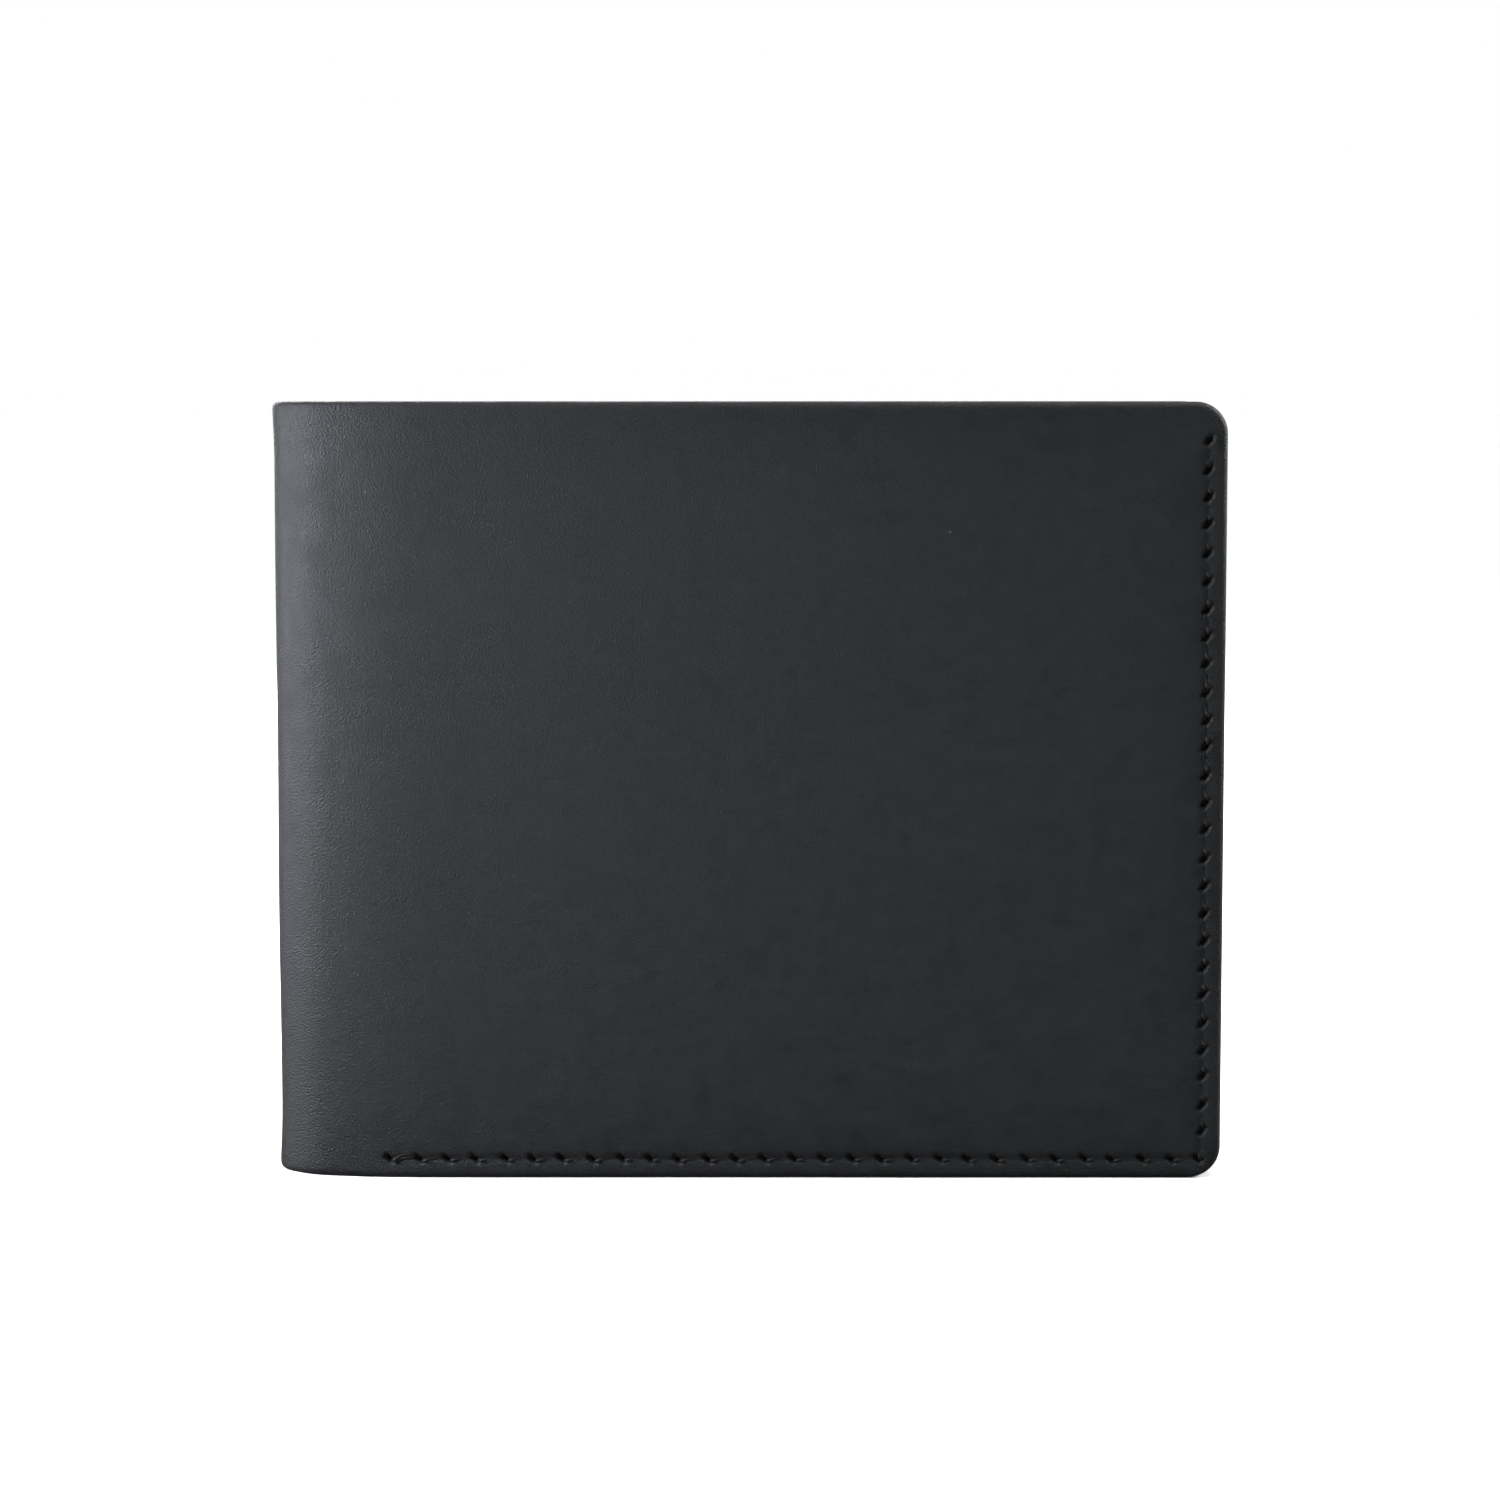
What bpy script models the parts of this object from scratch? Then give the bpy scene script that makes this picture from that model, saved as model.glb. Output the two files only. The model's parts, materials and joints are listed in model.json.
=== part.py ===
"""Bifold leather wallet, closed and standing on its lower long edge.

Metres, +Z up. The back half lies at +Y and the front half at -Y, with the fold at -X. Both halves are
flat stacks of leather panels: an outer cover, a bill divider, three T-shaped slot pockets in steps and a
lower pocket, sewn together by threads that lie in shallow channels. The fold is a chain of three narrow
strips between four axes, which stands for one bent piece of leather, so that the wallet can open flat.
"""

import math

import bmesh
import bpy
from mathutils import Vector

# Overall size, closed
WIDTH = 0.116
HEIGHT = 0.095
THICKNESS = 0.015

# Leather
COVER = 0.0015
DIVIDER = 0.0010
POCKET = 0.0008
BILL_GAP = 0.0004
LAYER_GAP = 0.0003
CORNER_RADIUS = 0.003
CORNER_STEPS = 6

# Fold: the turn at each of its axes, from the back cover round to the front cover, in degrees
FOLD_TURNS = (40, 50, 50, 40)
STRIP_NAMES = ("spine_back_strip", "spine_centre_strip", "spine_front_strip")
STRIP_END_GAP = 0.0004

# Pocket stacks
STACK_WIDTH = 0.1001
DIVIDER_TOP = 0.0886
FIRST_SLOT_TOP = 0.078
SLOT_STEP = 0.011
SLOT_COUNT = 3
SLOT_DEPTH = 0.044
EAR_HEIGHT = 0.015
TONGUE_INSET = 0.006

# Threads
THREAD_WIDTH = 0.0006
THREAD_DEPTH = 0.00035
THREAD_PROUD = 0.00005
COVER_THREAD_SUNK = 0.00005
CHANNEL_CLEARANCE = 0.00012
SEAM_INSET = 0.0024
SEAM_TOP = 0.0902
SEAM_START_FROM_FOLD = 0.01406
STITCH_PITCH = 0.0035
FOLD_SIDE_SEAM_LOW = 0.0055
SLOT_SEAM_RISE = 0.002
SLOT_SEAM_INSET = 0.0016
STEP_BELOW_TOP = 0.0012
STEP_ABOVE_TOP = 0.0006

RIGHT = WIDTH / 2
LEFT = -WIDTH / 2
STACK_LEFT = RIGHT - STACK_WIDTH
HALVES = {"back": 1, "front": -1}


def clear_scene():
    for obj in list(bpy.data.objects):
        bpy.data.objects.remove(obj, do_unlink=True)


def make_material(name, colour, roughness):
    material = bpy.data.materials.new(name)
    material.use_nodes = True
    shader = material.node_tree.nodes["Principled BSDF"]
    shader.inputs["Base Color"].default_value = (*colour, 1)
    shader.inputs["Roughness"].default_value = roughness
    shader.inputs["Metallic"].default_value = 0
    return material


def outer_leather(name):
    return make_material(name + "_oiled_leather", (0.030, 0.033, 0.037), 0.55)


def inner_leather(name):
    return make_material(name + "_lining_leather", (0.022, 0.022, 0.024), 0.6)


def waxed_thread(name):
    return make_material(name + "_waxed_thread", (0.012, 0.012, 0.014), 0.35)


def place(axis, along, first, second):
    """A point from its distance along one axis and its two coordinates across it, in X, Y, Z order."""
    point = [first, second]
    point.insert("XYZ".index(axis), along)
    return Vector(point)


def prism(name, loops, axis, low, high):
    """One closed body: an outline and any windows in it, drawn out along an axis from low to high."""
    mesh = bpy.data.meshes.new(name)
    shape = bmesh.new()
    edges = []
    for loop in loops:
        corners = [shape.verts.new(place(axis, low, *point)) for point in loop]
        edges += [shape.edges.new((corners[i - 1], corners[i])) for i in range(len(corners))]
    bmesh.ops.triangle_fill(shape, use_beauty=True, edges=edges)
    drawn = bmesh.ops.extrude_face_region(shape, geom=shape.faces[:])
    moved = [item for item in drawn["geom"] if isinstance(item, bmesh.types.BMVert)]
    bmesh.ops.translate(shape, verts=moved, vec=place(axis, high - low, 0, 0))
    bmesh.ops.recalc_face_normals(shape, faces=shape.faces[:])
    shape.to_mesh(mesh)
    shape.free()
    obj = bpy.data.objects.new(name, mesh)
    bpy.context.scene.collection.objects.link(obj)
    return obj


def as_helper(obj):
    """Hides a cutter or a joining shape, which is no part of the wallet."""
    obj.hide_render = True
    obj.display_type = "WIRE"
    return obj


def add_boolean(obj, other, operation):
    modifier = obj.modifiers.new(other.name, "BOOLEAN")
    modifier.operation = operation
    modifier.solver = "EXACT"
    modifier.object = other


def rectangle(low_a, high_a, low_b, high_b):
    return [(low_a, low_b), (high_a, low_b), (high_a, high_b), (low_a, high_b)]


def arc(centre_x, centre_z, radius, start, end):
    """Points of a rounded corner, from one angle to the other in degrees."""
    angles = [math.radians(start + (end - start) * i / CORNER_STEPS) for i in range(CORNER_STEPS + 1)]
    return [(centre_x + radius * math.cos(a), centre_z + radius * math.sin(a)) for a in angles]


def panel_outline(left, top, round_top):
    """A panel from the fold side to the open edge, its open corners rounded."""
    radius = CORNER_RADIUS
    outline = [(left, 0)] + arc(RIGHT - radius, radius, radius, -90, 0)
    if round_top:
        outline += arc(RIGHT - radius, top - radius, radius, 0, 90)
    else:
        outline += [(RIGHT, top)]
    return outline + [(left, top)]


def slot_outline(top):
    """A T: a band across the stack with a narrower tongue below it."""
    band_low = top - EAR_HEIGHT
    low = top - SLOT_DEPTH
    tongue_left = STACK_LEFT + TONGUE_INSET
    tongue_right = RIGHT - TONGUE_INSET
    return [
        (tongue_left, low),
        (tongue_right, low),
        (tongue_right, band_low),
        (RIGHT, band_low),
        (RIGHT, top),
        (STACK_LEFT, top),
        (STACK_LEFT, band_low),
        (tongue_left, band_low),
    ]


def slot_top(number):
    return FIRST_SLOT_TOP - SLOT_STEP * (number - 1)


def stack_layers():
    """Each panel's name, the depths of its two faces below the outer face, and its top, from the cover in."""
    layers = [("cover", 0, COVER, HEIGHT)]
    depth = COVER + BILL_GAP
    layers.append(("bill_divider", depth, depth + DIVIDER, DIVIDER_TOP))
    depth += DIVIDER + LAYER_GAP
    for number in range(1, SLOT_COUNT + 1):
        layers.append((f"slot_pocket_{number}", depth, depth + POCKET, slot_top(number)))
        depth += POCKET + LAYER_GAP
    layers.append(("lower_pocket", depth, depth + POCKET, slot_top(SLOT_COUNT + 1)))
    return layers


def depth_to_y(side, depth):
    """The place across the wallet of a depth below a half's outer face. side is 1 at the back, -1 at the front."""
    return side * (THICKNESS / 2 - depth)


def make_panel(half, layer, parent):
    """One flat leather panel of a half."""
    name, outer, inner, top = layer
    side = HALVES[half]
    faces = sorted((depth_to_y(side, outer), depth_to_y(side, inner)))
    if name == "cover":
        outline = panel_outline(fold_points()[0][0] + STRIP_END_GAP, top, True)
    elif name.startswith("slot_pocket"):
        outline = slot_outline(top)
    else:
        outline = panel_outline(STACK_LEFT, top, name == "bill_divider")
    panel = prism(f"{half}_{name}", [outline], "Y", *faces)
    material = outer_leather if name == "cover" else inner_leather
    panel.data.materials.append(material(panel.name))
    keep_place_under(panel, parent)
    return panel


def fold_points():
    """The fold axes in plan, on the middle of the leather, from the back cover to the front cover."""
    headings = [math.radians(sum(FOLD_TURNS[: i + 1])) for i in range(len(STRIP_NAMES))]
    reach = THICKNESS - COVER
    length = reach / sum(math.sin(heading) for heading in headings)
    x = LEFT + COVER / 2 + length * math.cos(headings[0])
    y = reach / 2
    points = [(x, y)]
    for heading in headings:
        x -= length * math.cos(heading)
        y -= length * math.sin(heading)
        points.append((x, y))
    return points


def make_fold_axes():
    """An empty on each fold axis. The centre strip carries the inner two, and each of those its outer one."""
    axes = []
    for number, (x, y) in enumerate(fold_points(), 1):
        axis = bpy.data.objects.new(f"fold_axis_{number}", None)
        bpy.context.scene.collection.objects.link(axis)
        axis.location = (x, y, 0)
        axes.append(axis)
    keep_place_under(axes[0], axes[1])
    keep_place_under(axes[3], axes[2])
    return axes


def keep_place_under(obj, parent):
    """Parents an object without moving it."""
    if parent is None:
        return
    bpy.context.view_layer.update()
    obj.parent = parent
    obj.matrix_parent_inverse = parent.matrix_world.inverted()


def make_strip(name, start, end, parent):
    """One flat strip of the fold, between two fold axes."""
    start, end = Vector(start), Vector(end)
    along = (end - start).normalized()
    across = Vector((-along.y, along.x)) * COVER / 2
    start += along * STRIP_END_GAP
    end -= along * STRIP_END_GAP
    corners = [start - across, end - across, end + across, start + across]
    strip = prism(name, [[tuple(corner) for corner in corners]], "Z", 0, HEIGHT)
    strip.data.materials.append(outer_leather(strip.name))
    keep_place_under(strip, parent)


def comb_loops(back, runs, grow):
    """The side view of a seam, as an outline and its windows, in distance along it and depth.

    back is the run of thread on the far side: its start, its end and the depth of its outer surface. runs
    are the runs on the near faces: start, end and the face's depth. A post joins each of their ends to back.
    """
    start, end, far = back
    far_inner = far + THREAD_DEPTH + grow
    far -= grow
    start -= grow
    end += grow
    outline = [(start, far_inner), (start, far), (end, far), (end, far_inner)]
    windows = []
    for run_start, run_end, run_face in sorted(runs, reverse=True):
        near = run_face + THREAD_PROUD
        near_outer = near - THREAD_DEPTH - grow
        near += grow
        low, high = run_start - grow, run_end + grow
        outline += [(high, far_inner), (high, near), (low, near), (low, far_inner)]
        window_low, window_high = run_start + THREAD_WIDTH + grow, run_end - THREAD_WIDTH - grow
        if window_high > window_low:
            windows.append(rectangle(window_low, window_high, far_inner, near_outer))
    return [without_repeats(outline)] + windows


def without_repeats(points):
    """The points of a closed outline with each one that repeats the one before it left out."""
    kept = []
    for point in points:
        if not kept or math.dist(point, kept[-1]) > 1e-7:
            kept.append(point)
    if math.dist(kept[0], kept[-1]) <= 1e-7:
        kept.pop()
    return kept


def upright_seam(name, side, x, back, runs, grow):
    """A seam that runs up the wallet at one x."""
    loops = comb_loops(back, runs, grow)
    loops = [[(depth_to_y(side, depth), along) for along, depth in loop] for loop in loops]
    half_width = THREAD_WIDTH / 2 + grow
    return prism(name, loops, "X", x - half_width, x + half_width)


def level_seam(name, side, z, back, runs, grow):
    """A seam that runs along the wallet at one z."""
    loops = comb_loops(back, runs, grow)
    loops = [[(along, depth_to_y(side, depth)) for along, depth in loop] for loop in loops]
    half_width = THREAD_WIDTH / 2 + grow
    return prism(name, loops, "Z", z - half_width, z + half_width)


def stepped_runs(low, layers):
    """Runs of an upright seam, one on the bare band of each layer, from low up to the divider's top stitch."""
    runs = []
    start = low
    for name, outer, inner, top in reversed(layers):
        if name == "cover":
            break
        runs.append((start, top - STEP_BELOW_TOP, inner))
        start = top + STEP_ABOVE_TOP
    return runs


def edge_seams(name, side, layers, grow):
    """The seam down the open edge and along the lower edge, as an upright part and a level part."""
    half_width = THREAD_WIDTH / 2
    x = RIGHT - SEAM_INSET
    cover_inner = layers[0][2]
    lower_inner = layers[-1][2]
    end = SEAM_TOP + half_width
    runs = stepped_runs(SEAM_INSET - half_width, layers)
    runs.append((end - THREAD_WIDTH, end, cover_inner))
    back = (SEAM_INSET - half_width, end, COVER_THREAD_SUNK)
    upright = upright_seam(name, side, x, back, runs, grow)
    start = LEFT + SEAM_START_FROM_FOLD - half_width
    runs = [
        (start, start + THREAD_WIDTH, cover_inner),
        (start + STITCH_PITCH, x + half_width, lower_inner),
    ]
    back = (start, x + half_width, COVER_THREAD_SUNK)
    level = level_seam(name + "_lower_run", side, SEAM_INSET, back, runs, grow)
    return upright, level


def fold_side_seam(name, side, layers, grow):
    """The seam along a pocket stack's edge at the fold, which doesn't pass through the cover."""
    divider_outer = layers[1][1] - THREAD_PROUD
    low = FOLD_SIDE_SEAM_LOW
    runs = stepped_runs(low, layers)
    high = runs[-1][1]
    return upright_seam(name, side, STACK_LEFT + SEAM_INSET, (low, high, divider_outer), runs, grow)


def slot_seam(name, side, layers, number, grow):
    """The seam through a slot pocket's lower edge and the divider."""
    divider_outer = layers[1][1] - THREAD_PROUD
    slot_inner, top = layers[1 + number][2:]
    low = STACK_LEFT + TONGUE_INSET + SLOT_SEAM_INSET
    high = RIGHT - TONGUE_INSET - SLOT_SEAM_INSET
    z = top - SLOT_DEPTH + SLOT_SEAM_RISE
    return level_seam(name, side, z, (low, high, divider_outer), [(low, high, slot_inner)], grow)


def make_thread(thread, parent, joined=None):
    if joined:
        add_boolean(thread, as_helper(joined), "UNION")
        keep_place_under(joined, parent)
    thread.data.materials.append(waxed_thread(thread.name))
    keep_place_under(thread, parent)


def cut_channel(panels, cutter, parent):
    """Cuts a thread's channel and holes, with clearance, into each panel that it passes."""
    keep_place_under(as_helper(cutter), parent)
    for panel in panels:
        add_boolean(panel, cutter, "DIFFERENCE")


def make_half(half, parent):
    """A cover with its pocket stack and its threads."""
    side = HALVES[half]
    layers = stack_layers()
    panels = [make_panel(half, layer, parent) for layer in layers]
    stack = panels[1:]
    divider = panels[1]

    thread, lower_run = edge_seams(f"{half}_edge_thread", side, layers, 0)
    make_thread(thread, parent, lower_run)
    for cutter in edge_seams(f"{half}_edge_channel", side, layers, CHANNEL_CLEARANCE):
        cut_channel(panels, cutter, parent)

    make_thread(fold_side_seam(f"{half}_fold_side_thread", side, layers, 0), parent)
    cutter = fold_side_seam(f"{half}_fold_side_channel", side, layers, CHANNEL_CLEARANCE)
    cut_channel(stack, cutter, parent)

    for number in range(1, SLOT_COUNT + 1):
        make_thread(slot_seam(f"{half}_slot_thread_{number}", side, layers, number, 0), parent)
        cutter = slot_seam(f"{half}_slot_channel_{number}", side, layers, number, CHANNEL_CLEARANCE)
        cut_channel((divider, panels[1 + number]), cutter, parent)


def make_fold(axes):
    """The strips of the fold. The centre one is fixed, and the others turn on the axes beside it."""
    points = fold_points()
    parents = (axes[1], None, axes[2])
    for number, (name, parent) in enumerate(zip(STRIP_NAMES, parents)):
        make_strip(name, points[number], points[number + 1], parent)


clear_scene()
fold_axes = make_fold_axes()
make_fold(fold_axes)
make_half("back", fold_axes[0])
make_half("front", fold_axes[3])
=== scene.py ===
import json
import math
import random
from functools import partial

import bpy
import numpy as np
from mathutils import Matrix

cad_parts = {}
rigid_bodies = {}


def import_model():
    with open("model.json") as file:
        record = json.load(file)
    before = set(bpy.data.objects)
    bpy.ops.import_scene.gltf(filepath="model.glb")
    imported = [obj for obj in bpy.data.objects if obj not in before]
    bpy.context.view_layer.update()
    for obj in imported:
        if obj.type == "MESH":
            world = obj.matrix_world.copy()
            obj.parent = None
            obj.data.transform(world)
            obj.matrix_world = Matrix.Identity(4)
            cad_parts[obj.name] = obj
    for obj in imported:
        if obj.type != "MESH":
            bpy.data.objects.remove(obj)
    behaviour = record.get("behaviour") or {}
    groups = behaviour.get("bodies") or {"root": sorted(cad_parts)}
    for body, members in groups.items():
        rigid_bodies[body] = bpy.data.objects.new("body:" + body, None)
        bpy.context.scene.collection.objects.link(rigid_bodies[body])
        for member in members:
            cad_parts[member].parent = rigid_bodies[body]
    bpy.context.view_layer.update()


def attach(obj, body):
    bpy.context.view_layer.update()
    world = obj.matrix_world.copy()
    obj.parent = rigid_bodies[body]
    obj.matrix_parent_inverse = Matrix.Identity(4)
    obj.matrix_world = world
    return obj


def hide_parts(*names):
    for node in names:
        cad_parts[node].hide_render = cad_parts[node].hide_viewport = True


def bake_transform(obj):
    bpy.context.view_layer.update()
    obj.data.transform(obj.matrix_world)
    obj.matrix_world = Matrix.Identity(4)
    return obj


for startup_object in list(bpy.data.objects):
    bpy.data.objects.remove(startup_object)

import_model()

# Lengths are in millimetres unless a comment says otherwise, and become metres as a mesh is made.
MM = 0.001

# The closed wallet: the fold is at -X, the open edge at +X, the front at -Y, and it stands on Z = 0.
HEIGHT = 95.0
OPEN_EDGE = 58.0
HALF_THICKNESS = 7.5
COVER = 1.5
NEUTRAL = HALF_THICKNESS - COVER / 2
CORNER_RADIUS = 3.9
STACK_EDGE = -42.1
FIRST_SLOT_TOP = 78.0
SLOT_STEP = 11.0
SLOT_COUNT = 3
SLOT_DEPTH = 44.0
EAR_HEIGHT = 15.0
TONGUE_INSET = 6.0
DIVIDER_TOP = 88.6
LOWER_TOP = 45.0

# The fold in plan, from the spine's middle to one cover: two bends, and a long tail that eases the leather
# onto the flat. The turns are in degrees and add up to a quarter turn. A bend's centre and length are
# measured along the leather, before fit_fold scales them.
SPINE_APEX = -57.25
BEND_CENTRES = (3.1, 9.6)
BEND_LENGTHS = (6.5, 10.0)
BEND_TURNS = (50.0, 24.0)
TAIL_TURN = 16.0
TAIL_START = 6.0
TAIL_LENGTH = 20.0
TAIL_EASE = 2.2
TRACE_LENGTH = 40.0
TRACE_POINTS = 4001
SCALE_RANGE = (0.5, 1.3)
HALVINGS = 40

# Where the fold's leather is cut into pieces, measured along the leather before fit_fold scales it.
JOINT_FROM_APEX = 6.9

# Seams: their lines, their stitches, and how far a hole strays along its seam and across it.
SEAM_INSET_X = 2.4
SEAM_INSET_Z = 2.4
SEAM_TOP = 90.2
SEAM_START_X = -43.94
ROW_STITCHES = 28
COLUMN_STITCHES = 26
FOLD_SIDE_SEAM_X = -39.7
FOLD_SIDE_SEAM_Z = (5.5, 87.4)
FOLD_SIDE_STITCHES = 23
SLOT_SEAM_X = (-34.5, 50.4)
SLOT_SEAM_RISE = 2.0
SLOT_STITCHES = 24
ROW_END_GAP = 0.3
ROW_STRAY = (0.16, 0.06)
COLUMN_STRAY = (0.14, 0.05)
STRAIGHT_STRAY = 0.1
SLIT_ANGLE = math.radians(40)
SLIT_HALF_LENGTH = 0.50
THREAD_RADIUS = 0.25

# Distances of a sheet's outermost lines from its edge, where it rolls over.
RIM_STEPS = (0.0, 0.03, 0.10, 0.22, 0.38, 0.60, 0.85)


def smooth(t):
    t = np.clip(t, 0.0, 1.0)
    return t * t * (3 - 2 * t)


def hump(distance, width):
    """1 at distance 0, falling to almost nothing two widths away."""
    return np.exp(-(distance / width) ** 2)


def stray(rng, most):
    return rng.uniform(-most, most)


# ------ the fold's rest shape

def running_sum(values, step):
    return np.concatenate([[0.0], np.cumsum((values[1:] + values[:-1]) / 2 * step)])


def trace_fold(length, scale):
    """Plan of the neutral surface from the spine's middle: x, distance from the mid plane, and heading."""
    turned = TAIL_TURN * (1 - (1 - np.clip((length - TAIL_START) / TAIL_LENGTH, 0, 1)) ** TAIL_EASE)
    for centre, bend, turn in zip(BEND_CENTRES, BEND_LENGTHS, BEND_TURNS):
        turned = turned + turn * smooth((length / scale - centre) / bend + 0.5)
    heading = np.radians(90 - turned)
    step = length[1] - length[0]
    return SPINE_APEX + running_sum(np.cos(heading), step), running_sum(np.sin(heading), step), heading


def fit_fold():
    """The traced fold, scaled so that it meets the flat cover at the cover's own depth."""
    length = np.linspace(0, TRACE_LENGTH, TRACE_POINTS)
    low, high = SCALE_RANGE
    for _ in range(HALVINGS):
        scale = (low + high) / 2
        x, y, heading = trace_fold(length, scale)
        if y[-1] > NEUTRAL:
            high = scale
        else:
            low = scale
    return length, x, y, heading, scale


FOLD_S, FOLD_X, FOLD_Y, FOLD_HEADING, FOLD_SCALE = fit_fold()
JOINT_LENGTH = JOINT_FROM_APEX * FOLD_SCALE
FLAT_SHIFT = FOLD_X[-1] - TRACE_LENGTH


def s_of_x(x):
    """Arc length from the spine's middle at a place x on the flat part of a cover."""
    return x - FLAT_SHIFT


def x_of_s(s):
    """A flat panel's x: true on the flat part of a cover, and carried on along the leather into the fold."""
    return s + FLAT_SHIFT


def leather_place(s, z, proud, side):
    """A point of the outer leather: arc length s, height z, and proud of the neutral surface."""
    x = np.where(s > TRACE_LENGTH, s + FLAT_SHIFT, np.interp(s, FOLD_S, FOLD_X))
    y = np.interp(s, FOLD_S, FOLD_Y)
    heading = np.interp(s, FOLD_S, FOLD_HEADING)
    return np.stack([x - np.sin(heading) * proud, side * (y + np.cos(heading) * proud), z], axis=1)


def panel_place(x, z, depth, side):
    """A point of a half: depth is below that half's outer face."""
    return np.stack([x, side * (HALF_THICKNESS - depth), z], axis=1)


# ------ seams

def seam_holes(seed):
    """Holes of the edge seam: centre, direction along the seam, and direction towards the leather's edge."""
    rng = random.Random(seed)
    holes = []
    column_x = OPEN_EDGE - SEAM_INSET_X
    row_end = column_x - ROW_END_GAP
    for k in range(ROW_STITCHES + 1):
        x = SEAM_START_X + (row_end - SEAM_START_X) * k / ROW_STITCHES + stray(rng, ROW_STRAY[0])
        holes.append((x, SEAM_INSET_Z + stray(rng, ROW_STRAY[1]), (1.0, 0.0), (0.0, -1.0)))
    for k in range(1, COLUMN_STITCHES + 1):
        z = SEAM_INSET_Z + (SEAM_TOP - SEAM_INSET_Z) * k / COLUMN_STITCHES + stray(rng, COLUMN_STRAY[0])
        holes.append((column_x + stray(rng, COLUMN_STRAY[1]), z, (0.0, 1.0), (1.0, 0.0)))
    return holes


def straight_holes(start, end, count, outward, seed):
    """Holes of a straight seam from start to end, described as seam_holes does."""
    rng = random.Random(seed)
    start = np.array(start)
    end = np.array(end)
    along = (end - start) / np.linalg.norm(end - start)
    holes = []
    for k in range(count + 1):
        centre = start + (end - start) * k / count + along * stray(rng, STRAIGHT_STRAY)
        holes.append((centre[0], centre[1], tuple(along), outward))
    return holes


def slit_axis(hole):
    """Direction of a hole's slit, which leans from the seam towards the leather's edge."""
    (ax, az), (nx, nz) = hole[2], hole[3]
    c, s = math.cos(SLIT_ANGLE), math.sin(SLIT_ANGLE)
    return np.array([ax * c + nx * s, az * c + nz * s])


HOLES = {"front": seam_holes(11), "back": seam_holes(12)}


# ------ lattices and sheets

SQUEEZE_FROM_X = 50.0
ARC_STEPS = 10
FAR = 1e9


def spaced(start, end, step, block=1):
    """Evenly spaced lines from start up to, but without, end. Every block-th line is a major one."""
    count = max(block, block * round((end - start) / step / block))
    return [(start + (end - start) * k / count, k % block == 0) for k in range(count)]


def rim_up(edge):
    return [(edge + step, True) for step in RIM_STEPS[:-1]]


def rim_down(edge):
    return [(edge - step, True) for step in reversed(RIM_STEPS)]


class Lattice:
    """Numbered nodes of a panel, on lines that are fine in two bands and coarse elsewhere."""

    def __init__(self, columns, rows, band_row=0, band_column=None, inside=None):
        self.u = np.array([position for position, _ in columns])
        self.v = np.array([position for position, _ in rows])
        self.band_row = band_row
        self.band_column = len(columns) - 1 if band_column is None else band_column
        self.major_i = [i for i, line in enumerate(columns) if line[1]]
        self.major_j = [j for j, line in enumerate(rows) if line[1]]
        self.inside = inside
        self.number = {}
        self.cells = []
        self.add_bands(len(columns), len(rows))
        self.add_coarse()
        self.i = np.array([node[0] for node in self.number])
        self.j = np.array([node[1] for node in self.number])

    def node(self, i, j):
        return self.number.setdefault((i, j), len(self.number))

    def add_cell(self, corners):
        if self.inside is not None:
            u = sum(self.u[i] for i, j in corners) / len(corners)
            v = sum(self.v[j] for i, j in corners) / len(corners)
            if not self.inside(u, v):
                return
        self.cells.append([self.node(i, j) for i, j in corners])

    def add_bands(self, column_count, row_count):
        for j in range(row_count - 1):
            first = 0 if j < self.band_row else self.band_column
            for i in range(first, column_count - 1):
                self.add_cell([(i, j), (i + 1, j), (i + 1, j + 1), (i, j + 1)])

    def add_coarse(self):
        rows = [j for j in self.major_j if j >= self.band_row]
        columns = [i for i in self.major_i if i <= self.band_column]
        for j0, j1 in zip(rows, rows[1:]):
            for i0, i1 in zip(columns, columns[1:]):
                low = range(i0, i1) if j0 == self.band_row and j0 > 0 else [i0]
                right = range(j0, j1) if i1 == self.band_column and i1 < len(self.u) - 1 else [j0]
                corners = [(i, j0) for i in low] + [(i1, j) for j in right] + [(i1, j1), (i0, j1)]
                self.add_cell(corners)

    def border(self):
        """True for each node on the lattice's outline: an edge used by one cell only ends there."""
        used = {}
        for cell in self.cells:
            for a, b in zip(cell, cell[1:] + cell[:1]):
                key = (min(a, b), max(a, b))
                used[key] = used.get(key, 0) + 1
        on_border = np.zeros(len(self.number), bool)
        for (a, b), count in used.items():
            if count == 1:
                on_border[[a, b]] = True
        return on_border


def rounded_edge(z, height, top_radius=CORNER_RADIUS):
    """x of the open edge at height z, with its corners rounded."""
    low = np.clip(CORNER_RADIUS - z, 0, CORNER_RADIUS)
    high = np.clip(top_radius - (height - z), 0, top_radius)
    cut = CORNER_RADIUS - np.sqrt(CORNER_RADIUS ** 2 - low ** 2)
    return OPEN_EDGE - cut - (top_radius - np.sqrt(np.maximum(top_radius ** 2 - high ** 2, 0)))


def squeeze_to_edge(x, edge):
    """Moves the columns nearest the open edge so that the last one lies on a rounded edge."""
    start = SQUEEZE_FROM_X
    return np.where(x > start, start + (x - start) * (edge - start) / (OPEN_EDGE - start), x)


def path_distance(x, z, path):
    """Distance of each point from a path of straight stretches."""
    best = np.full(len(x), FAR)
    for (x0, z0), (x1, z1) in zip(path, path[1:]):
        dx, dz = x1 - x0, z1 - z0
        t = np.clip(((x - x0) * dx + (z - z0) * dz) / (dx * dx + dz * dz), 0, 1)
        best = np.minimum(best, np.hypot(x - x0 - t * dx, z - z0 - t * dz))
    return best


def outline_distance(x, z, outline):
    return path_distance(x, z, outline + outline[:1])


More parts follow.
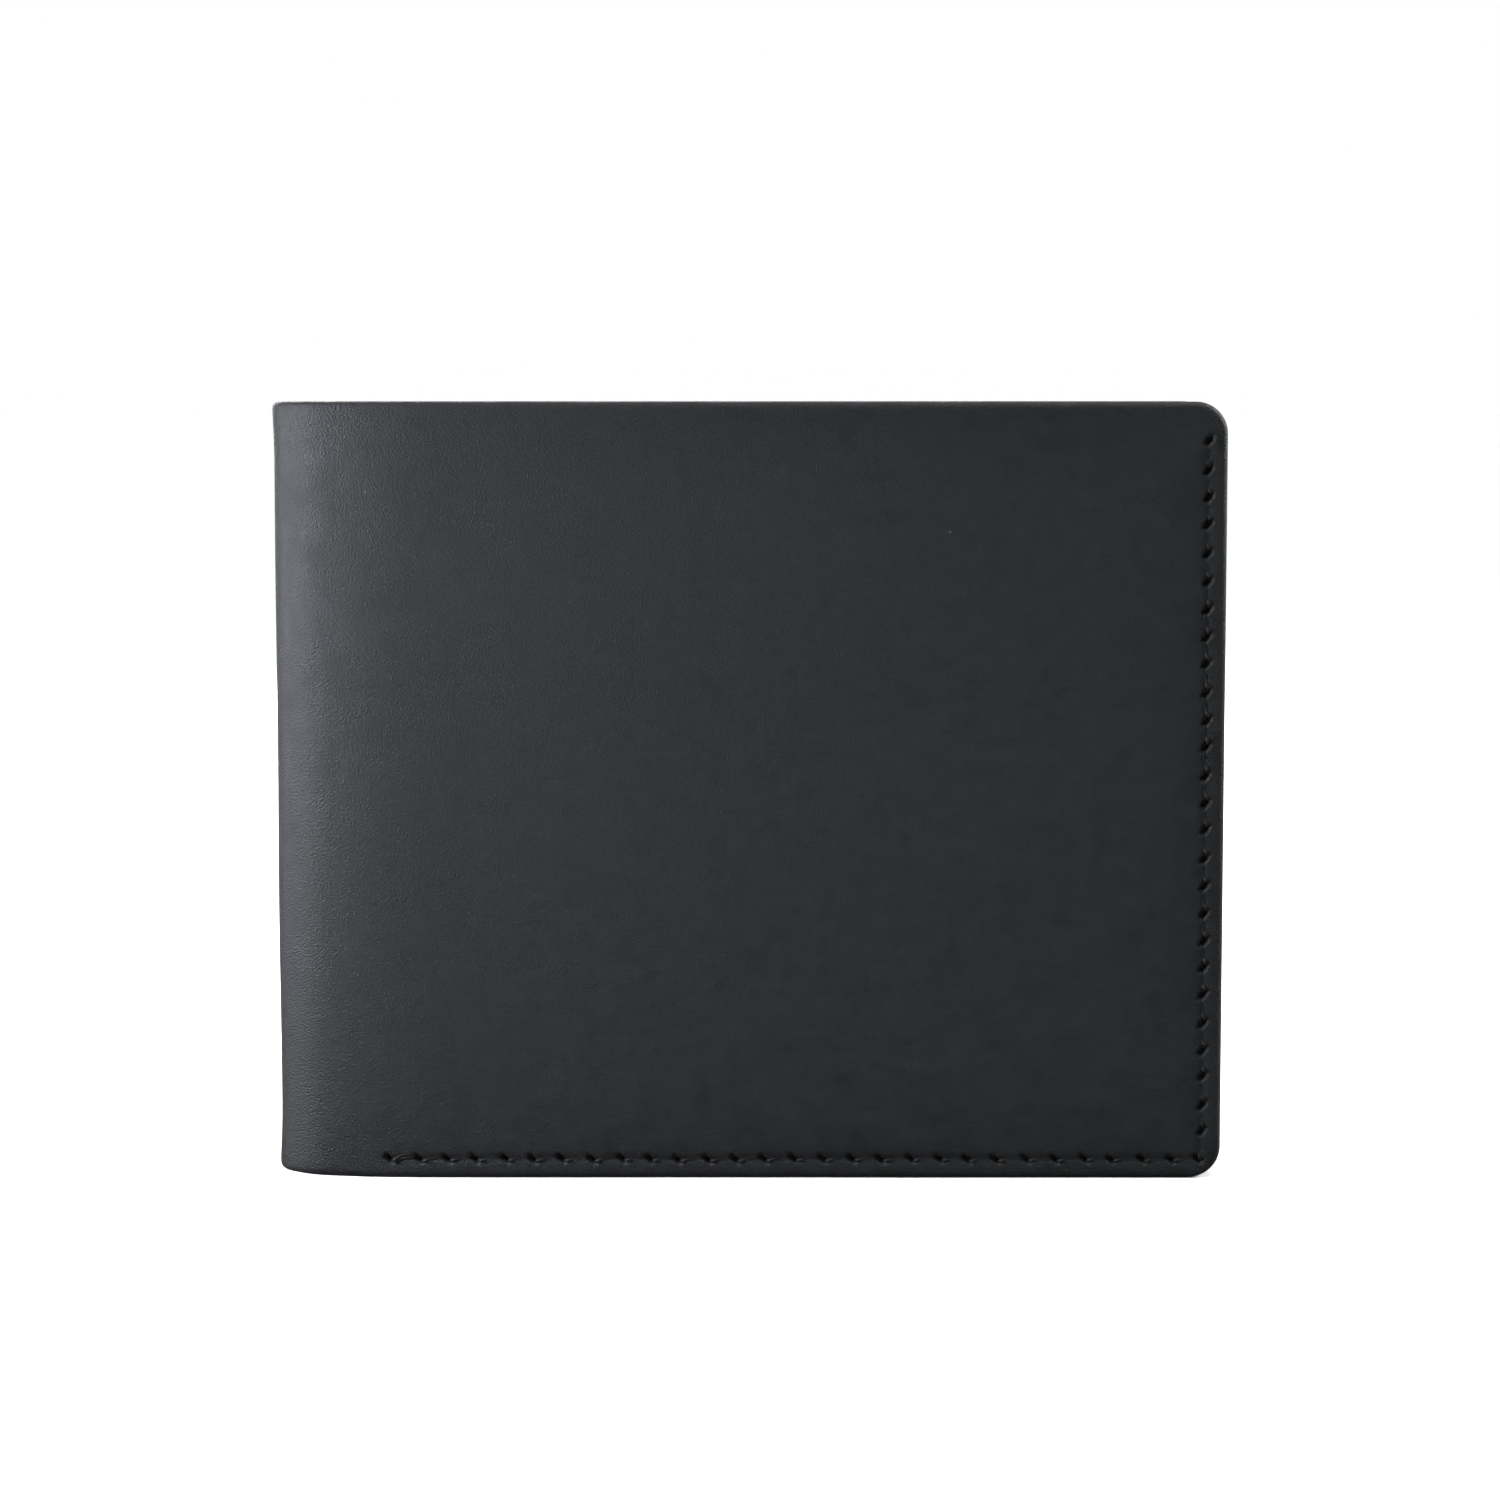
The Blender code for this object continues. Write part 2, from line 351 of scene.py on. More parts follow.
def panel_outline(left, top, top_radius=CORNER_RADIUS):
    """A panel's outline, with its two corners at the open edge rounded."""
    low_x, low_z = OPEN_EDGE - CORNER_RADIUS, CORNER_RADIUS
    high_x, high_z = OPEN_EDGE - top_radius, top - top_radius
    angles = [math.pi / 2 * k / ARC_STEPS for k in range(ARC_STEPS + 1)]
    points = [(left, 0.0)]
    points += [(low_x + CORNER_RADIUS * math.sin(a), low_z - CORNER_RADIUS * math.cos(a)) for a in angles]
    points += [(high_x + top_radius * math.cos(a), high_z + top_radius * math.sin(a)) for a in angles]
    points.append((left, top))
    return points


def rim_profile(distance, reach):
    """Share of the half thickness that is left at a distance from the outline."""
    t = np.clip(distance / reach, 0, 1)
    return np.sqrt(np.maximum(1 - (1 - t) ** 2, 0))


def link_object(name, data):
    obj = bpy.data.objects.new(name, data)
    bpy.context.collection.objects.link(obj)
    return obj


def make_object(name, points, faces, materials, slots=None, flat=None, values=None):
    """A smooth mesh object from points in millimetres, with its flat pattern as a UV map."""
    mesh = bpy.data.meshes.new(name)
    mesh.from_pydata((np.asarray(points) * MM).tolist(), [], faces)
    for material in materials:
        mesh.materials.append(material)
    if slots is not None:
        mesh.polygons.foreach_set("material_index", slots)
    mesh.polygons.foreach_set("use_smooth", [True] * len(mesh.polygons))
    if flat is not None:
        corner_vertex = np.empty(len(mesh.loops), np.int32)
        mesh.loops.foreach_get("vertex_index", corner_vertex)
        layer = mesh.uv_layers.new(name="flat")
        layer.data.foreach_set("uv", np.asarray(flat, np.float32)[corner_vertex].ravel())
    for key, value in (values or {}).items():
        attribute = mesh.attributes.new(key, "FLOAT", "POINT")
        attribute.data.foreach_set("value", np.asarray(value, np.float32))
    mesh.update()
    return link_object(name, mesh)


# A sheet's border: width of the burnished edge, and width and power of the margin, which is smoother and
# whose colour carries painted shade, darker towards the border.
COVER_WEAR_AND_SHADE = (0.55, 7.0, 1.3)
PANEL_WEAR_AND_SHADE = (0.45, 3.0, 1.5)


def mask_values(distance, wear, slit, groove, polish):
    """The masks that a leather's material reads, for the outer face and for the inner one."""
    edge_width, margin_width, margin_power = wear
    edge = hump(distance, edge_width)
    # The margin: smoother leather, and painted shade in the colour, darker towards the border.
    margin = np.exp(-(distance / margin_width) ** margin_power)
    none = np.zeros(len(distance))
    masks = {"edge": (edge, edge), "margin": (margin, margin)}
    masks.update({"slit": (slit, none), "groove": (groove, none), "polish": (polish, none)})
    return masks


def make_sheet(name, lattice, welded, outer, inner, flat, values, materials, flip):
    """A closed sheet from its two faces: the nodes in welded are shared by both faces."""
    count = len(lattice.number)
    inner_number = np.arange(count)
    loose = np.flatnonzero(~welded)
    inner_number[loose] = count + np.arange(len(loose))
    points = np.concatenate([outer, inner[loose]])
    backs = [[int(inner_number[k]) for k in cell] for cell in lattice.cells]
    faces = [cell[::-1] if flip else cell for cell in lattice.cells]
    faces += [back if flip else back[::-1] for back in backs]
    slots = [0] * len(backs) + [len(materials) - 1] * len(backs)
    all_flat = np.concatenate([flat, flat[loose]])
    all_values = {key: np.concatenate([value[0], value[1][loose]]) for key, value in values.items()}
    return make_object(name, points, faces, materials, slots, all_flat, all_values)


# ------ relief of the outer leather

# The awl slits of the edge seam: how far round a hole one is looked for, half its length and width, how
# squarely it ends, and how deep it is.
SLIT_REACH = 2.0
SLIT_LENGTH = 0.66
SLIT_WIDTH = 0.30
SLIT_SQUARENESS = 3.5
SLIT_DEPTH = 0.85

# The lips raised along a slit's sides, at an offset from its middle.
LIP_LENGTH = 0.75
LIP_OFFSET = 0.55
LIP_WIDTH = 0.22
LIP_HEIGHT = 0.07

# The groove pressed along the seam, and the wider dip that the thread pulls the leather into.
GROOVE_WIDTH = 0.42
GROOVE_DEPTH = 0.09
PULL_WIDTH = 1.1
PULL_DEPTH = 0.07

# The worn edge, and slight waves all over: how many, their highest frequency, and their height.
EDGE_DROP_WIDTH = 1.5
EDGE_DROP = 0.10
COVER_WAVES = (7, 0.16, 0.018)
WAVE_PHASES = 6.28
RELIEF_SEED = 5


def slit_field(x, z, holes):
    """How much of an awl slit there is at each point, and how much of the raised lip round one."""
    slit = np.zeros(len(x))
    lip = np.zeros(len(x))
    for hole in holes:
        near = np.flatnonzero((np.abs(x - hole[0]) < SLIT_REACH) & (np.abs(z - hole[1]) < SLIT_REACH))
        px, pz = x[near] - hole[0], z[near] - hole[1]
        axis = slit_axis(hole)
        along = px * axis[0] + pz * axis[1]
        across = -px * axis[1] + pz * axis[0]
        inside = np.exp(-(np.abs(along) / SLIT_LENGTH) ** SLIT_SQUARENESS - (across / SLIT_WIDTH) ** 2)
        slit[near] = np.maximum(slit[near], inside)
        ring = np.exp(-(along / LIP_LENGTH) ** 2 - ((np.abs(across) - LIP_OFFSET) / LIP_WIDTH) ** 2)
        lip[near] = np.maximum(lip[near], ring)
    return slit, lip


def add_waves(relief, x, z, rng, waves):
    """Adds slight waves of random direction, length and phase to a relief."""
    count, frequency, height = waves
    for _ in range(count):
        kx, kz = stray(rng, frequency), stray(rng, frequency)
        relief = relief + height * np.sin(kx * x + kz * z + rng.uniform(0, WAVE_PHASES))
    return relief


def cover_relief(x, z, distance, holes):
    """How far the outer face stands proud of a flat one, and the slit and groove masks for its material."""
    seam = path_distance(x, z, [hole[:2] for hole in holes])
    groove = hump(seam, GROOVE_WIDTH)
    slit, lip = slit_field(x, z, holes)
    relief = -GROOVE_DEPTH * groove - PULL_DEPTH * hump(seam, PULL_WIDTH)
    relief = relief - SLIT_DEPTH * slit + LIP_HEIGHT * lip * (1 - slit)
    relief = relief - EDGE_DROP * np.clip(1 - distance / EDGE_DROP_WIDTH, 0, 1) ** 2
    relief = add_waves(relief, x, z, random.Random(RELIEF_SEED), COVER_WAVES)
    return relief, slit, groove


# ------ outer leather

# The lattice: fine lines in a band along the seams, and elsewhere one line in every block of fine ones.
FINE = 0.2
BLOCK = 5
BAND = 5.0
BAND_FROM_X = -46.0
TOP_ZONE = 93.0
TOP_STEP = 0.3
FOLD_STEP = 0.45
JOINT_STEP = 0.35
JOINT_ZONE = 1.0
JOINT_GAPS = (0.0, 0.03, 0.10, 0.25)

# A left edge so far off that the cover's outline has none at the fold.
BEYOND_FOLD_X = -200.0

# The section: how far the rolled rim reaches in, where the relief fades out, and how the leather flares
# outwards at the upper and lower ends of the fold.
RIM_REACH = 0.62
RELIEF_FADE = 0.4
FLARE = 0.22
FLARE_WIDTH = 4.0
FLARE_START = 2.0
FLARE_LENGTH = 9.0

# The leather that handling has polished, along the fold.
POLISH_MIDDLE = 8.5
POLISH_WIDTH = 5.5


def leather_rows():
    """Rows of the outer leather, and the row at which its lower band of fine cells ends."""
    rows = rim_up(0.0) + spaced(RIM_STEPS[-1], BAND, FINE)
    rows = [(position, False) for position, _ in rows]
    rows[0] = (0.0, True)
    band_row = len(rows)
    rows += spaced(BAND, TOP_ZONE, FINE, BLOCK)
    rows += spaced(TOP_ZONE, HEIGHT - RIM_STEPS[-1], TOP_STEP)
    rows += rim_down(HEIGHT)
    return rows, band_row


def joint_lines(start, end):
    """Lines between two butt joints, closer together at each, so that the shading runs on across them."""
    lines = [(start + gap, True) for gap in JOINT_GAPS[:-1]]
    lines += spaced(start + JOINT_GAPS[-1], end - JOINT_GAPS[-1], JOINT_STEP)
    lines += [(end - gap, True) for gap in reversed(JOINT_GAPS)]
    return lines


def make_spine_leather(name, side, materials):
    rows, band_row = leather_rows()
    kept = [line for k, line in enumerate(rows) if k <= band_row or line[1]]
    rows = [(position, True) for position, _ in kept]
    lattice = Lattice(joint_lines(0.0, JOINT_LENGTH), rows)
    s, z = lattice.u[lattice.i], lattice.v[lattice.j]
    distance = np.minimum(z, HEIGHT - z)
    return finish_leather(name, lattice, s, x_of_s(s), z, distance, side, [], materials)


def make_cover_leather(name, side, holes, materials):
    rows, band_row = leather_rows()
    fold_end = s_of_x(BAND_FROM_X)
    columns = joint_lines(JOINT_LENGTH, JOINT_LENGTH + JOINT_ZONE)[:-1]
    columns += spaced(JOINT_LENGTH + JOINT_ZONE, fold_end, FOLD_STEP)
    columns += spaced(fold_end, s_of_x(OPEN_EDGE - BAND), FINE, BLOCK)
    band_column = len(columns)
    columns += spaced(s_of_x(OPEN_EDGE - BAND), s_of_x(OPEN_EDGE) - RIM_STEPS[-1], FINE)
    columns += rim_down(s_of_x(OPEN_EDGE))
    lattice = Lattice(columns, rows, band_row, band_column)
    z = lattice.v[lattice.j]
    x = squeeze_to_edge(x_of_s(lattice.u[lattice.i]), rounded_edge(z, HEIGHT))
    distance = outline_distance(x, z, panel_outline(BEYOND_FOLD_X, HEIGHT))
    return finish_leather(name, lattice, s_of_x(x), x, z, distance, side, holes, materials)


def finish_leather(name, lattice, s, x, z, distance, side, holes, materials):
    """The leather's two faces and rolled rims, open where it butts against the next piece."""
    at_joint = lattice.i == 0
    if not holes:
        at_joint = at_joint | (lattice.i == len(lattice.u) - 1)
    outline = (lattice.j == 0) | (lattice.j == len(lattice.v) - 1)
    if holes:
        outline = outline | (lattice.i == len(lattice.u) - 1)
    distance = np.where(outline, 0.0, distance)
    half = COVER / 2 * rim_profile(distance, RIM_REACH)
    relief, slit, groove = cover_relief(x, z, distance, holes)
    relief = np.where(outline, 0.0, relief * smooth(distance / RELIEF_FADE))
    flare = FLARE * hump(distance, FLARE_WIDTH) * smooth(1 - (s - FLARE_START) / FLARE_LENGTH)
    outer = leather_place(s, z, half + relief + flare, side)
    inner = leather_place(s, z, flare - half, side)
    flat = np.stack([side * s, z], axis=1)
    polish = hump(s - POLISH_MIDDLE, POLISH_WIDTH)
    values = mask_values(distance, COVER_WEAR_AND_SHADE, slit, groove, polish)
    return make_sheet(name, lattice, outline, outer, inner, flat, values, materials, side > 0)


# ------ the stacked pockets of one half

def box_inside(x, z, box):
    x0, x1, z0, z1 = box
    return np.minimum(np.minimum(x - x0, x1 - x), np.minimum(z - z0, z1 - z))


class Layer:
    """One leather panel of a half: its boxes, its depth below the outer face, and its thickness."""

    def __init__(self, name, boxes, depth, thickness):
        self.name = name
        self.boxes = boxes
        self.depth = depth
        self.thickness = thickness

    def signed(self, x, z):
        """Distance inside the panel's outline, negative outside it."""
        return np.max([box_inside(x, z, box) for box in self.boxes], axis=0)


def slot_boxes(number):
    top = FIRST_SLOT_TOP - SLOT_STEP * number
    ear = (STACK_EDGE, OPEN_EDGE, top - EAR_HEIGHT, top)
    tongue = (STACK_EDGE + TONGUE_INSET, OPEN_EDGE - TONGUE_INSET, top - SLOT_DEPTH, top)
    return [ear, tongue]


def slot_seam_height(number):
    return FIRST_SLOT_TOP - SLOT_STEP * number - SLOT_DEPTH + SLOT_SEAM_RISE


def full_panel(top):
    return [(STACK_EDGE, OPEN_EDGE, 0.0, top)]


# Depths are of the cover-side face below the half's outer face, where a panel lies loose.
FIRST_POCKET_DEPTH = 3.15
POCKET_SPACING = 1.1
POCKET_THICKNESS = 0.88

DIVIDER = Layer("bill_divider", full_panel(DIVIDER_TOP), depth=1.9, thickness=1.0)
POCKETS = []
for slot in range(SLOT_COUNT):
    loose_depth = FIRST_POCKET_DEPTH + POCKET_SPACING * slot
    POCKETS.append(Layer(f"slot_pocket_{slot + 1}", slot_boxes(slot), loose_depth, POCKET_THICKNESS))
POCKETS.append(Layer("lower_pocket", full_panel(LOWER_TOP), depth=6.45, thickness=POCKET_THICKNESS))

# Pressed layers lie this far apart, and a layer over another one's edge comes down over the cling length.
CONTACT = 0.02
CLING = 3.0

# A seam holds the layers fully up to a margin, and less over a stretch beyond it.
OPEN_EDGE_HOLD = (4.0, 11.0)
FOLD_SIDE_HOLD = (3.5, 10.0)
BOTTOM_HOLD = (4.0, 10.0)
FOOT_HOLD = (1.0, 7.0)
DIVIDER_PRESS = 0.36


def held(distance, hold):
    """1 within a seam's margin, falling to 0 over the stretch beyond it."""
    margin, stretch = hold
    return 1 - smooth((distance - margin) / stretch)


def edge_hold(x, z):
    """1 where a seam holds the layers together, falling to 0 where they lie loose."""
    right = held(OPEN_EDGE - x, OPEN_EDGE_HOLD)
    fold = held(x - STACK_EDGE, FOLD_SIDE_HOLD)
    bottom = held(z, BOTTOM_HOLD)
    return 1 - (1 - right) * (1 - fold) * (1 - bottom)


def divider_depth(x, z):
    """Depth of the divider's cover-side face, drawn towards the cover by the edge seam."""
    right = held(OPEN_EDGE - x, OPEN_EDGE_HOLD)
    bottom = held(z, BOTTOM_HOLD)
    return DIVIDER.depth - DIVIDER_PRESS * (1 - (1 - right) * (1 - bottom))


def pocket_depth(number, x, z):
    """Depth of a pocket's cover-side face: loose in its own plane, and pressed down at the seams."""
    layer = POCKETS[number]
    pressed = divider_depth(x, z) + DIVIDER.thickness + CONTACT
    for below in POCKETS[:number]:
        pressed = pressed + (below.thickness + CONTACT) * smooth(1 + below.signed(x, z) / CLING)
    hold = edge_hold(x, z)
    if number < SLOT_COUNT:
        foot = slot_seam_height(number)
        hold = np.maximum(hold, held(z - foot, FOOT_HOLD))
    return layer.depth * (1 - hold) + pressed * hold


def pocket_face(number, x, z):
    """Depth of a pocket's inner face."""
    return pocket_depth(number, x, z) + POCKETS[number].thickness


def stack_top(x, z):
    """Depth of the inmost face of the panels that lie at a place."""
    x = np.asarray(x, float)
    z = np.asarray(z, float)
    top = np.full(x.shape, COVER)
    inside = DIVIDER.signed(x, z) >= 0
    top = np.where(inside, divider_depth(x, z) + DIVIDER.thickness, top)
    for number, layer in enumerate(POCKETS):
        top = np.where(layer.signed(x, z) >= 0, pocket_face(number, x, z), top)
    return top


# A pocket's mouth has a creased line below its edge, with close rows round it, and painted shade along the
# crease.
CREASE_FROM_EDGE = 1.6
CREASE_STEPS = (1.15, 1.3, 1.45, 1.6, 1.75, 1.9, 2.05)
CREASE_WIDTH = 0.16
CREASE_DEPTH = 0.10
CREASE_SHADE_WIDTH = 0.2
MOUTH_RADIUS = 1.2

# A panel's lattice, its dips along the seams, its waves as in COVER_WAVES, and its section.
PANEL_STEP = 1.0
FOOT_STEP = 0.8
FOOT_ZONE = 10.0
EAR_ZONE = 5.0
SEAM_DIP_WIDTH = 0.7
SEAM_DIP = 0.07
PANEL_WAVES = (6, 0.22, 0.014)
PANEL_RELIEF_FADE = 0.5
PANEL_RIM_REACH = 0.42

# Every panel's flat pattern has its own place on the hide: how many columns and rows, and how far apart.
HIDE_COLUMNS = (7, 150.0)
HIDE_ROWS = (5, 130.0)


def span(start, end, step, rim_at_start, rim_at_end):
    """Lines over a span, closer together where it ends in a rim. The last line belongs to the next span."""
    low = RIM_STEPS[-1] if rim_at_start else 0.0
    high = RIM_STEPS[-1] if rim_at_end else 0.0
    lines = rim_up(start) if rim_at_start else []
    lines += spaced(start + low, end - high, step)
    if rim_at_end:
        lines += rim_down(end)[:-1]
    return lines


def top_span(start, top):
    """Rows up to a pocket's opening, with the creased line below its edge."""
    lines = spaced(start, top - CREASE_STEPS[-1], PANEL_STEP)
    lines += [(top - gap, True) for gap in reversed(CREASE_STEPS)]
    return lines + rim_down(top)


def panel_lines(layer):
    """Columns and rows of a panel: a plain one, or one whose tongue hangs between two ears."""
    if len(layer.boxes) == 1:
        x0, x1, z0, z1 = layer.boxes[0]
        columns = span(x0, x1, PANEL_STEP, True, True) + [(x1, True)]
        rows = span(z0, z0 + FOOT_ZONE, FOOT_STEP, True, False) + top_span(z0 + FOOT_ZONE, z1)
        return columns, rows
    (x0, x1, z1, z2), (t0, t1, z0, _) = layer.boxes
    columns = span(x0, t0, PANEL_STEP, True, False) + span(t0, t1, PANEL_STEP, True, True)
    columns += span(t1, x1, PANEL_STEP, False, True) + [(x1, True)]
    rows = span(z0, z1, PANEL_STEP, True, False) + span(z1, z1 + EAR_ZONE, PANEL_STEP, True, False)
    return columns, rows + top_span(z1 + EAR_ZONE, z2)


def layer_outline(layer):
    if len(layer.boxes) == 1:
        x0, _, _, z1 = layer.boxes[0]
        return panel_outline(x0, z1, MOUTH_RADIUS)
    (x0, x1, z1, z2), (t0, t1, z0, _) = layer.boxes
    return [(t0, z0), (t1, z0), (t1, z1), (x1, z1), (x1, z2), (x0, z2), (x0, z1), (t0, z1)]


def panel_relief(x, z, top, distance, seed):
    """Crease below the opening, a dip along the seams, and slight waves."""
    relief = -CREASE_DEPTH * hump(z - (top - CREASE_FROM_EDGE), CREASE_WIDTH)
    for from_seam in (x - (OPEN_EDGE - SEAM_INSET_X), x - FOLD_SIDE_SEAM_X, z - SEAM_INSET_Z):
        relief = relief - SEAM_DIP * hump(from_seam, SEAM_DIP_WIDTH)
    relief = add_waves(relief, x, z, random.Random(seed), PANEL_WAVES)
    return relief * smooth(distance / PANEL_RELIEF_FADE)


def hide_pattern(x, z, seed, side):
    """A panel's flat pattern, at its own place on the hide."""
    place_x = HIDE_COLUMNS[1] * (seed % HIDE_COLUMNS[0])
    place_z = HIDE_ROWS[1] * (seed % HIDE_ROWS[0]) * side
    return np.stack([x + place_x, z + place_z], axis=1)


def make_panel(half, side, layer, depth_of, materials, seed):
    """One panel of a half: a closed sheet whose cover-side face lies at depth_of(x, z)."""
    columns, rows = panel_lines(layer)
    lattice = Lattice(columns, rows, inside=lambda x, z: layer.signed(x, z) > 0)
    x, z = lattice.u[lattice.i], lattice.v[lattice.j]
    welded = lattice.border()
    top = layer.boxes[0][3]
    if len(layer.boxes) == 1:
        x = squeeze_to_edge(x, rounded_edge(z, top, MOUTH_RADIUS))
    distance = np.where(welded, 0.0, outline_distance(x, z, layer_outline(layer)))
    share = rim_profile(distance, PANEL_RIM_REACH)
    middle = depth_of(x, z) + layer.thickness / 2
    relief = panel_relief(x, z, top, distance, seed)
    low = panel_place(x, z, middle - layer.thickness / 2 * share, side)
    high = panel_place(x, z, middle + layer.thickness / 2 * share + relief, side)
    flat = hide_pattern(x, z, seed, side)
    # Painted shade along the crease below the opening, carried in the groove mask.
    crease = hump(z - (top - CREASE_FROM_EDGE), CREASE_SHADE_WIDTH)
    none = np.zeros(len(z))
    values = mask_values(distance, PANEL_WEAR_AND_SHADE, none, crease, none)
    name = f"{half}_{layer.name}_leather"
    piece = make_sheet(name, lattice, welded, high, low, flat, values, materials, side < 0)
    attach(piece, f"{half}_half")
    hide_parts(f"{half}_{layer.name}")


# ------ stitches

STITCH_STEPS = (0.0, 0.035, 0.08, 0.14, 0.22, 0.34, 0.5, 0.66, 0.78, 0.86, 0.92, 0.965, 1.0)
THREAD_SIDES = 10
TWIST_PITCH = 1.7
PLY_DEPTH = 0.15

# A direction that no thread starts along, and the distance within which two points are one.
OFF_THREAD = (0.3, 0.5, 0.8)
SAME_POINT = 1e-4

# A stitch dives into its slits at both ends. It comes out a little proud, and sinks into the groove.
DIVE = 0.8
DIVE_SHARE = 0.13
PROUD = 0.05
SINK = 0.38
SINK_START = 0.07
SINK_SHARE = 0.27

# A stitch clears the face at four points round it, and a back stitch lies beside the first one.
PROBES = (-0.3, 0.3)
BACK_STITCH_SHIFT = 0.42
OUTER_FACE_DEPTH = 0.05


def slit_ends(hole):
    axis = slit_axis(hole) * SLIT_HALF_LENGTH
    centre = np.array([hole[0], hole[1]])
    return centre - axis, centre + axis


def thread_sink(t):
    """How deep a thread's middle lies below its face, at a share t of the stitch."""
    dive = DIVE * (1 - smooth(min(t, 1 - t) / DIVE_SHARE))
    return dive - PROUD + SINK * smooth((t - SINK_START) / SINK_SHARE)


def one_stitch(first, second, face, proud_sign, shift=0.0):
    """Points (x, z, depth) of one stitch over a face, from inside one slit to inside the next."""
    start = slit_ends(first)[1]
    end = slit_ends(second)[0]
    along = end - start
    across = np.array([-along[1], along[0]]) / np.linalg.norm(along)
    points = []
    for t in STITCH_STEPS:
        place = start + along * t + across * shift * math.sin(math.pi * t)
        near = [face(place[0] + dx, place[1] + dz) for dx in PROBES for dz in PROBES]
        level = max(near) if proud_sign > 0 else min(near)
        points.append((place[0], place[1], level - proud_sign * thread_sink(t)))
    return points


def saddle_stitch(holes, outer_face, inner_face):
    """Two threads that pass each other in every hole, one on each face at a time."""
    threads = []
    for offset in (0, 1):
        points = []
        for k in range(len(holes) - 1):
            on_outer = (k + offset) % 2 == 0
            face = outer_face if on_outer else inner_face
            points += one_stitch(holes[k], holes[k + 1], face, -1 if on_outer else 1)
        threads.append(points)
    return threads


def double_ends(holes, outer_face, inner_face):
    """Back stitches over the first and last stitch of a seam, on both faces."""
    threads = []
    for first, second in ((holes[0], holes[1]), (holes[-2], holes[-1])):
        threads.append(one_stitch(first, second, outer_face, -1, BACK_STITCH_SHIFT))
        threads.append(one_stitch(first, second, inner_face, 1, BACK_STITCH_SHIFT))
    return threads


def add_tube_faces(faces, base, rings):
    """Adds a tube's skin and its two ends. Its first ring starts at point number base."""
    for k in range(rings - 1):
        for m in range(THREAD_SIDES):
            a = base + k * THREAD_SIDES + m
            b = base + k * THREAD_SIDES + (m + 1) % THREAD_SIDES
            faces.append([a, b, b + THREAD_SIDES, a + THREAD_SIDES])
    faces.append([base + m for m in reversed(range(THREAD_SIDES))])
    last = base + (rings - 1) * THREAD_SIDES
    faces.append([last + m for m in range(THREAD_SIDES)])


def tube(path, radius, points, faces, lengths):
    """Adds a two-ply thread along a path to the lists of points and faces."""
    path = np.array(path)
    keep = np.concatenate([[True], np.linalg.norm(np.diff(path, axis=0), axis=1) > SAME_POINT])
    path = path[keep]
    tangent = np.gradient(path, axis=0)
    tangent /= np.linalg.norm(tangent, axis=1)[:, None]
    run = np.concatenate([[0.0], np.cumsum(np.linalg.norm(np.diff(path, axis=0), axis=1))])
    normal = np.cross(tangent[0], OFF_THREAD)
    base = len(points)
    for k in range(len(path)):
        normal = normal - tangent[k] * np.dot(normal, tangent[k])
        normal = normal / np.linalg.norm(normal)
        second = np.cross(tangent[k], normal)
        for m in range(THREAD_SIDES):
            a = 2 * math.pi * m / THREAD_SIDES
            ply = 1 + PLY_DEPTH * math.cos(2 * (a - math.pi * run[k] / TWIST_PITCH))
            points.append(path[k] + radius * ply * (math.cos(a) * normal + math.sin(a) * second))
            lengths.append((run[k], a * radius))
    add_tube_faces(faces, base, len(path))


def make_stitching(half, side, node, holes, outer_face, inner_face, material, doubled):
    """The thread of one seam, between two faces given as depths."""
    threads = saddle_stitch(holes, outer_face, inner_face)
    if doubled:
        threads += double_ends(holes, outer_face, inner_face)
    points, faces, lengths = [], [], []
    for thread in threads:
        data = np.array(thread)
        path = panel_place(data[:, 0], data[:, 1], data[:, 2], side)
        tube(path, THREAD_RADIUS, points, faces, lengths)
    piece = make_object(f"{half}_{node}_stitching", points, faces, [material], flat=lengths)
    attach(piece, f"{half}_half")
    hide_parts(f"{half}_{node}")


# ------ materials

